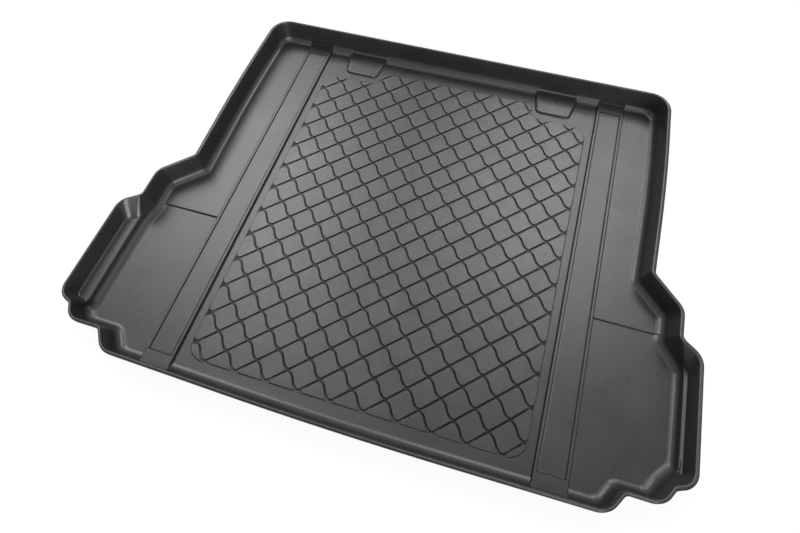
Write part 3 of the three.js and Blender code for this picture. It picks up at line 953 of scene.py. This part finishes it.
def read(items, name, width=1, kind=float):
    """One value, or one row of values, for each of a mesh's points, edges, faces or corners."""
    values = np.zeros(len(items) * width, kind)
    items.foreach_get(name, values)
    return values.reshape(-1, width) if width > 1 else values


def soft_normals(mesh):
    """Gives each point the mean normal of its faces, weighed by their areas."""
    faces = mesh.polygons
    weighed = read(faces, "normal", 3) * read(faces, "area")[:, None]
    total = np.zeros((len(mesh.vertices), 3))
    places = read(mesh.loops, "vertex_index", kind=int)
    np.add.at(total, places, np.repeat(weighed, read(faces, "loop_total", kind=int), axis=0))
    total /= np.maximum(np.linalg.norm(total, axis=1)[:, None], 1e-20)
    mesh.normals_split_custom_set_from_vertices(total)


# ---- finish ----

GRAIN_WARP = 0.0014  # How far the grain's cells are pushed about, in metres
GRAIN_BUMP = 0.55
CLOUDS = 9.0  # Scale of the cloudy tone
RUB_AND_HIGHLIGHT_PATCHES = 35.0  # Scale of the gaps in the rubbing and its painted highlight
CLOUD_ROUGHNESS = 0.035  # How far the clouds change the roughness
RUB_ROUGHNESS = -0.05
CREASE_SHADE_GLOSS = 0.25  # Share of the gloss that is left in creases, where it is cut as painted shade
LONGEST_BEND = 0.004  # Longer edges of the mesh, in metres, say nothing about its bends
RAISED_BEND = 500  # Bend per metre at which an edge counts as fully raised, for its paler rubbing and painted highlight
CREASE_SHADE_BENDS = (400, 800)  # Bends per metre between which a crease is given painted shade
STEEP = 0.7  # Share of its length by which an edge must climb to carry a crease's painted shade upwards
CREASE_SHADE_CLIMB = 0.6  # Share of the painted shade that it carries


class Nodes:
    """Short ways to add and link the nodes of one tree."""

    def __init__(self, tree):
        self.tree = tree
        self.column = 0

    def add(self, kind, inputs=None, **settings):
        node = self.tree.nodes.new(kind)
        node.location = (self.column * 180, 0)
        self.column += 1
        for name, value in settings.items():
            setattr(node, name, value)
        for name, value in (inputs or {}).items():
            socket = node.inputs[name]
            if isinstance(value, bpy.types.NodeSocket):
                self.tree.links.new(value, socket)
            else:
                socket.default_value = value
        return node

    def math(self, operation, a, b):
        return self.add("ShaderNodeMath", {0: a, 1: b}, operation=operation).outputs[0]

    def mix(self, factor, a, b):
        """A colour between two others, which are sockets or three numbers."""
        a, b = (v if isinstance(v, bpy.types.NodeSocket) else (*v, 1) for v in (a, b))
        return self.add("ShaderNodeMix", {0: factor, 6: a, 7: b}, data_type="RGBA").outputs[2]

    def noise(self, place, scale, detail, rough=0.5):
        inputs = {"Vector": place, "Scale": scale, "Detail": detail, "Roughness": rough}
        return self.add("ShaderNodeTexNoise", inputs)

    def ramp(self, value, low, high, start=0.0, end=1.0):
        inputs = {"Value": value, "From Min": low, "From Max": high, "To Min": start, "To Max": end}
        return self.add("ShaderNodeMapRange", inputs).outputs[0]


def node_group(name, inputs, outputs):
    """An empty shader node group: its nodes, and its input node. All but Vector are numbers."""
    group = bpy.data.node_groups.new(name, "ShaderNodeTree")
    for way, sockets in (("INPUT", inputs), ("OUTPUT", outputs)):
        for socket in sockets:
            kind = "NodeSocketVector" if socket == "Vector" else "NodeSocketFloat"
            group.interface.new_socket(socket, in_out=way, socket_type=kind)
    n = Nodes(group)
    return n, n.add("NodeGroupInput").outputs


def node_material(name):
    """A material without nodes, and the maker of its nodes."""
    material = bpy.data.materials.new(name)
    material.use_nodes = True
    material.node_tree.nodes.clear()
    return material, Nodes(material.node_tree)


def grain_group():
    """Leather-like grain of the moulded sheet: its height, and clouds for the tone."""
    n, source = node_group("moulded grain", ("Vector", "Size"), ("Height", "Cloud"))
    place = source["Vector"]
    scale = n.math("DIVIDE", 1.0, source["Size"])
    warp = n.noise(place, n.math("MULTIPLY", scale, 0.35), 2.0).outputs["Color"]
    bent = {0: warp, 1: (GRAIN_WARP,) * 3, 2: place}
    bent = n.add("ShaderNodeVectorMath", bent, operation="MULTIPLY_ADD").outputs[0]
    cells = {"Vector": bent, "Scale": scale}
    cells = n.add("ShaderNodeTexVoronoi", cells, feature="DISTANCE_TO_EDGE")
    pebble = n.ramp(cells.outputs["Distance"], 0.0, 0.22)
    fine = n.noise(place, n.math("MULTIPLY", scale, 2.6), 3.0).outputs["Fac"]
    height = n.math("ADD", pebble, n.math("MULTIPLY", fine, 0.5))
    cloud = n.noise(place, CLOUDS, 4.0, 0.55).outputs["Fac"]
    n.add("NodeGroupOutput", {"Height": height, "Cloud": cloud})
    return n.tree


def rub_and_highlight_group():
    """Paler rubbing and painted highlight along raised edges, broken up by noise."""
    n, source = node_group("rubbed edges", ("Vector", "Edge"), ("Rub",))
    patches = n.noise(source["Vector"], RUB_AND_HIGHLIGHT_PATCHES, 5.0, 0.65).outputs["Fac"]
    broken = n.ramp(patches, 0.35, 0.65, 0.35, 1.0)
    n.add("NodeGroupOutput", {"Rub": n.math("MULTIPLY", source["Edge"], broken)})
    return n.tree


def liner_material(looks):
    """Matte charcoal moulding with a fine grain, paler rubbed edges with painted highlight, and
    painted shade in creases and on the outer lip.
    """
    material, n = node_material("charcoal moulding")
    place = n.add("ShaderNodeTexCoord").outputs["Object"]
    # Mask of the paler rubbing with painted highlight on raised edges
    edge = n.add("ShaderNodeAttribute", attribute_name="edge").outputs["Fac"]
    # Mask of the painted shade in creases and on the outer lip
    crease = n.add("ShaderNodeAttribute", attribute_name="crease").outputs["Fac"]
    grain = {"Vector": place, "Size": looks.grain_size}
    grain = n.add("ShaderNodeGroup", grain, node_tree=grain_group()).outputs
    rub = n.add("ShaderNodeGroup", {"Vector": place, "Edge": edge}, node_tree=rub_and_highlight_group())
    rub = rub.outputs["Rub"]

    tone = n.mix(n.ramp(grain["Cloud"], 0.3, 0.7), looks.dark, looks.light)
    # Paler rubbing with painted highlight on raised edges and crowns
    tone = n.mix(n.math("MULTIPLY", rub, looks.rub), tone, looks.worn)
    low, high = looks.roughness - CLOUD_ROUGHNESS, looks.roughness + CLOUD_ROUGHNESS
    rough = n.ramp(grain["Cloud"], 0.3, 0.7, low, high)
    bump = {"Height": grain["Height"], "Strength": GRAIN_BUMP, "Distance": looks.grain_depth}
    surface = n.add(
        "ShaderNodeBsdfPrincipled",
        {
            # Painted shade: creases and the outer lip take a near-black tone
            "Base Color": n.mix(crease, tone, looks.deep),
            "Roughness": n.math("ADD", rough, n.math("MULTIPLY", rub, RUB_ROUGHNESS)),
            # Gloss is cut in creases as part of the painted shade
            "Specular IOR Level": n.ramp(crease, 0.0, 1.0, looks.gloss, looks.gloss * CREASE_SHADE_GLOSS),
            "Normal": n.add("ShaderNodeBump", bump).outputs[0],
        },
    )
    n.add("ShaderNodeOutputMaterial", {"Surface": surface.outputs[0]})
    return material


def edge_values(mesh):
    """How strongly each point lies on a raised edge and in a tight crease, each from 0 to 1. The
    edge value masks paler rubbing with painted highlight, and the crease value masks painted shade.
    """
    co, normal = read(mesh.vertices, "co", 3), read(mesh.vertices, "normal", 3)
    a, b = read(mesh.edges, "vertices", 2, int).T
    way = co[b] - co[a]
    span = np.linalg.norm(way, axis=1)
    bend = ((normal[b] - normal[a]) * way).sum(axis=1) / np.maximum(span, 1e-9) ** 2
    near = span < LONGEST_BEND
    raised, sunk = np.zeros((2, len(co)))
    for ends in (a[near], b[near]):
        np.maximum.at(raised, ends, bend[near])
        np.maximum.at(sunk, ends, -bend[near])
    # Painted shade in tight creases, carried a little way up their steep walls
    sunk = np.interp(sunk, CREASE_SHADE_BENDS, (0, 1))
    steep = near & (np.abs(way[:, 2]) > STEEP * span)
    low, high = np.where(way[:, 2] > 0, (a, b), (b, a))[:, steep]
    spread = sunk.copy()
    np.maximum.at(spread, high, CREASE_SHADE_CLIMB * sunk[low])
    return np.clip(raised / RAISED_BEND, 0, 1) * (1 - spread), spread


# ---- studio ----

# Directions towards the lamps
LAMPS = {
    "left_lamp": (-0.47, 0.47, 0.745),
    "top_lamp": (-0.33, 0.17, 0.93),
    "right_lamp": (0.11, 0.58, 0.81),
    "near_lamp": (0.08, -0.42, 0.90),
    "back_lamp": (0.45, -0.82, 0.35),
    "low_lamp": (0.80, 0.22, 0.56),
}
LAMP_DISTANCE = 3
CAMERA_PLACE = (0.1782, -0.5800, 0.9886)
CAMERA_TURN = -0.337610
CAMERA_DIP = 1.109217
CAMERA_ROLL = -0.043481
SENSOR = 36.0
FLOOR_HALF = 12.0
FLOOR_GAP = 0.0005  # Distance of the floor under the liner, in metres


def linked(name, data):
    """A new object in the scene."""
    piece = bpy.data.objects.new(name, data)
    bpy.context.scene.collection.objects.link(piece)
    return piece


def seen_directly(n):
    """1 for rays from the camera and for reflections, otherwise 0."""
    path = n.add("ShaderNodeLightPath")
    seen = n.math("MAXIMUM", path.outputs["Is Camera Ray"], path.outputs["Is Glossy Ray"])
    return n.math("MAXIMUM", seen, path.outputs["Is Transmission Ray"])


def backdrop_material(looks):
    """A floor that looks white but for a soft shadow, and casts its own grey on the liner."""
    material, n = node_material("studio white")
    seen = seen_directly(n)
    tint = n.mix(seen, looks.floor, (1, 1, 1))
    matte = n.add("ShaderNodeBsdfDiffuse", {"Color": tint}).outputs[0]
    white = n.add("ShaderNodeEmission", {"Color": (1, 1, 1, 1), "Strength": 1.0}).outputs[0]
    shown = {0: n.math("MULTIPLY", seen, 1 - looks.shadow), 1: matte, 2: white}
    shown = n.add("ShaderNodeMixShader", shown).outputs[0]
    n.add("ShaderNodeOutputMaterial", {"Surface": shown})
    return material


def soft_lamp(name, way, energy, spread):
    """A broad lamp far off in one direction."""
    lamp = bpy.data.lights.new(name, "SUN")
    lamp.energy = energy
    lamp.angle = spread
    piece = linked(name, lamp)
    piece.location = Vector(way) * LAMP_DISTANCE
    piece.rotation_euler = Vector(way).to_track_quat("Z", "Y").to_euler()


def studio_world(sky):
    """A world that is white to the camera and lights the liner with a given strength."""
    world = bpy.data.worlds.new("studio")
    world.use_nodes = True
    world.node_tree.nodes.clear()
    n = Nodes(world.node_tree)
    shown = {"Color": (1, 1, 1, 1), "Strength": n.ramp(seen_directly(n), 0.0, 1.0, sky, 1.0)}
    n.add("ShaderNodeOutputWorld", {"Surface": n.add("ShaderNodeBackground", shown).outputs[0]})
    return world


def add_camera(lens):
    """The camera in the photograph's place."""
    camera = bpy.data.cameras.new("camera")
    camera.sensor_width = SENSOR
    camera.lens = lens
    turn, dip, roll = CAMERA_TURN, CAMERA_DIP, CAMERA_ROLL
    ahead = Vector((math.sin(turn) * math.cos(dip), math.cos(turn) * math.cos(dip), -math.sin(dip)))
    right = ahead.cross(Vector((0, 0, 1))).normalized()
    up = right.cross(ahead)
    right, up = (
        right * math.cos(roll) + up * math.sin(roll),
        up * math.cos(roll) - right * math.sin(roll),
    )
    place = Matrix((right, up, -ahead)).transposed().to_4x4()
    place.translation = Vector(CAMERA_PLACE)
    piece = linked("camera", camera)
    piece.matrix_world = place
    bpy.context.scene.camera = piece


# ---- operators ----


class LinerSettings(bpy.types.PropertyGroup):
    """All settings of the boot liner."""

    sizes: PointerProperty(type=LinerSizes)
    outline: PointerProperty(type=LinerOutline)
    pockets: PointerProperty(type=LinerPockets)
    floor: PointerProperty(type=LinerFloor)
    looks: PointerProperty(type=LinerLooks)
    studio: PointerProperty(type=StudioLooks)


class BOOTLINER_OT_moulding(bpy.types.Operator):
    """Build the moulded liner with its walls, pockets, rails, tabs and pads"""

    bl_idname = "bootliner.moulding"
    bl_label = "Liner moulding"

    def execute(self, context):
        settings = context.scene.boot_liner
        points, faces, lip = liner_mesh(settings)
        mesh = bpy.data.meshes.new("liner_moulding")
        mesh.from_pydata(points.tolist(), [], faces)
        mesh.polygons.foreach_set("use_smooth", [True] * len(mesh.polygons))
        mesh.update()
        edge, crease = edge_values(mesh)
        # The crease attribute carries painted shade in creases and on the outer lip; the edge
        # attribute carries paler rubbing with painted highlight
        for name, values in (("edge", edge * (1 - lip)), ("crease", np.maximum(crease, lip))):
            layer = mesh.attributes.new(name, "FLOAT", "POINT")
            layer.data.foreach_set("value", values.astype(np.float32))
        soft_normals(mesh)
        piece = linked("liner_moulding", mesh)
        mesh.materials.append(liner_material(settings.looks))
        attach(piece, BODY)
        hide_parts(CAD_NODE)
        return {"FINISHED"}


class BOOTLINER_OT_studio(bpy.types.Operator):
    """Build the floor, the lamps and the camera"""

    bl_idname = "bootliner.studio"
    bl_label = "Studio"

    def execute(self, context):
        looks = context.scene.boot_liner.studio
        mesh = bpy.data.meshes.new("studio_floor")
        h = FLOOR_HALF
        mesh.from_pydata([(-h, -h, 0), (h, -h, 0), (h, h, 0), (-h, h, 0)], [], [(0, 1, 2, 3)])
        mesh.materials.append(backdrop_material(looks))
        floor = linked("studio_floor", mesh)
        floor.location.z = -FLOOR_GAP
        for name, way in LAMPS.items():
            soft_lamp(name, way, getattr(looks, name), looks.lamp_spread)
        context.scene.world = studio_world(looks.sky)
        context.scene.view_settings.view_transform = "Standard"
        add_camera(looks.lens)
        return {"FINISHED"}


class BOOTLINER_PT_panel(bpy.types.Panel):
    """Lists the pieces of the boot liner"""

    bl_idname = "BOOTLINER_PT_panel"
    bl_label = "Boot liner"
    bl_space_type = "VIEW_3D"
    bl_region_type = "UI"
    bl_category = "Boot liner"

    def draw(self, context):
        settings = context.scene.boot_liner
        for operator in OPERATORS:
            self.layout.operator(operator.bl_idname)
        for name in LinerSettings.__annotations__:
            box = self.layout.box()
            box.label(text=name.capitalize())
            group = getattr(settings, name)
            for key in group.__annotations__:
                box.prop(group, key)


SETTINGS = (LinerSizes, LinerOutline, LinerPockets, LinerFloor, LinerLooks, StudioLooks)
OPERATORS = (BOOTLINER_OT_moulding, BOOTLINER_OT_studio)
CLASSES = (*SETTINGS, LinerSettings, *OPERATORS, BOOTLINER_PT_panel)


def register():
    for item in CLASSES:
        bpy.utils.register_class(item)
    bpy.types.Scene.boot_liner = PointerProperty(type=LinerSettings)


def unregister():
    del bpy.types.Scene.boot_liner
    for item in reversed(CLASSES):
        bpy.utils.unregister_class(item)


def main():
    register()
    bpy.ops.bootliner.moulding()
    bpy.ops.bootliner.studio()


if __name__ == "__main__":
    main()
